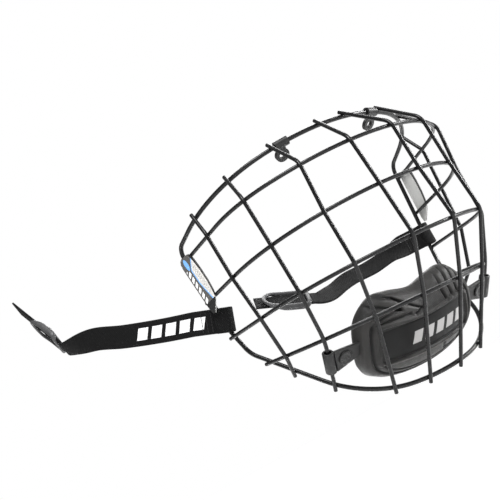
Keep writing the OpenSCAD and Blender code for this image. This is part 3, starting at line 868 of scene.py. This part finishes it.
def tab_part():
    """Left tab: the tapering strip and its sleeve round the upright wire."""
    stations = spline([tab_at(*p) for p in TAB_PATH], 5)
    count = len(stations) - 1
    sections = []
    for i in range(count + 1):
        at = i / count * (len(TAB_WIDTHS) - 1)
        k = min(int(at), len(TAB_WIDTHS) - 2)
        width = TAB_WIDTHS[k] + (TAB_WIDTHS[k + 1] - TAB_WIDTHS[k]) * (at - k)
        sections.append(oval(width, TAB_THICK, 24, 0.35))
    strip = sweep(stations, [TAB_Z] * len(stations), sections)
    inner, outer = SLEEVE
    half = SLEEVE_HALF
    profile = [(outer - 0.5, -half), (outer, -half + 0.6), (outer, half - 0.6), (outer - 0.5, half)]
    points, faces = lathe([(inner, half), (inner, -half), *profile, (inner, half)], TAB_O, TAB_Z)
    # The last two faces would cap the sleeve's bore.
    return merge(strip, (points, faces[:-2]))


def snap_part():
    """Left snap cap, standing on the front of its tab."""
    run = (tab_at(*TAB_PATH[4]) - tab_at(*TAB_PATH[1])).normalized()
    normal = TAB_Z.cross(run).normalized()
    if normal.dot(TAB_Y) > 0:
        normal = -normal
    centre = tab_at(-10.5, -3.0) + normal * (TAB_THICK / 2 - 0.05)
    r = SNAP_RADIUS
    profile = [(r - 0.3, 0.0), (r, 0.35), (r - 0.1, 0.9), (r - 0.5, 1.3), (r - 1.1, 1.5), (r - 1.6, 1.45),
               (r - 1.9, 1.2), (r - 2.3, 1.1), (r - 3.2, 1.25), (0.6, 1.4), (0.01, 1.42)]
    return lathe(profile, centre, normal, 48)


# --- Assembly ---------------------------------------------------------------------------------

def finish_node(name, material, bevel=0.0):
    """Gives a carried-over CAD node its material and, where asked, softened edges."""
    obj = nodes[name]
    obj.data.materials.clear()
    obj.data.materials.append(material)
    if bevel:
        edge = obj.modifiers.new("edge", "BEVEL")
        edge.width = bevel * MM
        edge.segments = 2
        edge.limit_method = "ANGLE"
        edge.angle_limit = math.radians(40)


def build():
    wire = wire_shader()
    for name in nodes:
        if "_wire" in name:
            finish_node(name, wire)
    for side, sign in (("left", 1), ("right", -1)):
        finish_node(f"side_plate_{side}", plate_shader(f"plate_plastic_{side}", sign), 0.25)
    clip = plastic_shader("clip_plastic", (0.008, 0.008, 0.008), (0.016, 0.016, 0.016), 0.42)
    snap = plastic_shader("snap_metal", (0.006, 0.006, 0.006), (0.012, 0.012, 0.012), 0.3)
    slide = plastic_shader("slide_plastic", (0.030, 0.030, 0.031), (0.046, 0.046, 0.047), 0.38)
    tab = plastic_shader("tab_rubber", (0.006, 0.006, 0.006), (0.012, 0.012, 0.012), 0.46)
    thread = plastic_shader("thread", (0.012, 0.012, 0.012), (0.022, 0.022, 0.022), 0.7)
    for side in ("left", "right"):
        finish_node(f"forehead_clip_{side}", clip, 0.45)
        finish_node(f"snap_socket_{side}", snap, 0.2)

    printed = web_shader("webbing_printed", (0.018, 0.082, 0.0045, 0.0129))
    plain = web_shader("webbing")
    for side, strap, material in (("right", right_strap(), printed), ("left", left_strap(), plain)):
        obj = strap.build(f"webbing_{side}", f"side_strap_{side}", f"strap_{side}", material)
        seam = stitches(f"seam_{side}", strap, f"strap_{side}", thread, 9.0, 3, 4.2)
        strap.length() * MM

    for side, bar, x, z in (("right", RIGHT_BAR, RIGHT_TAIL_X, RIGHT_TAIL_Z),
                            ("left", LEFT_BAR, LEFT_TAIL_X, LEFT_TAIL_Z)):
        slide_piece(f"slide_loop_{side}", f"strap_slide_{side}", f"slide_{side}", bar, x, z, slide)

    build_cup(cup_shader())
    build_band(band_shader())
    for side in ("left", "right"):
        turn = mirrored if side == "right" else (lambda part: part)
        for kind, part, node, material, slot in (
                ("tab", tab_part(), f"chin_tab_{side}", tab, "tab_rubber"),
                ("snap", snap_part(), f"snap_cap_{side}", snap, "snap_metal")):
            obj = new_object(f"{kind}_{side}", *turn(part))
            obj.data.materials.append(material)
            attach(obj, "chin_cup")
            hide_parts(node)


def set_stage():
    """Pale floor, world, lights and camera."""
    half = FLOOR_SIZE / 2 / MM
    z = FLOOR_HEIGHT / MM
    corners = [(-half, -half, z), (half, -half, z), (half, half, z), (-half, half, z)]
    floor = new_object("floor", corners, [(0, 1, 2, 3)], smooth=False)
    s = Shader("floor", (0.9, 0.9, 0.9), 0.9,
               Emission_Color=(1.0, 1.0, 1.0, 1.0), Emission_Strength=1.0 - FILL)
    s.color(s.mix(s.spread(s.noise(3.0), 0.0, 1.0), (0.955, 0.955, 0.955), (0.965, 0.965, 0.965)))
    floor.data.materials.append(s.material)
    bpy.context.scene.view_settings.view_transform = "Standard"
    add_world(FILL)
    add_area_light("key", place=(-0.4, -0.8, 1.4), size=0.7, power=45)
    add_area_light("back", place=(0.9, 1.0, 1.1), size=1.0, power=18)
    add_area_light("far_side", place=(0.95, -0.45, 0.30), size=0.30, power=0.9,
                   target=(0.12, 0.04, 0.04), spread=26)
    add_camera()


build()
set_stage()
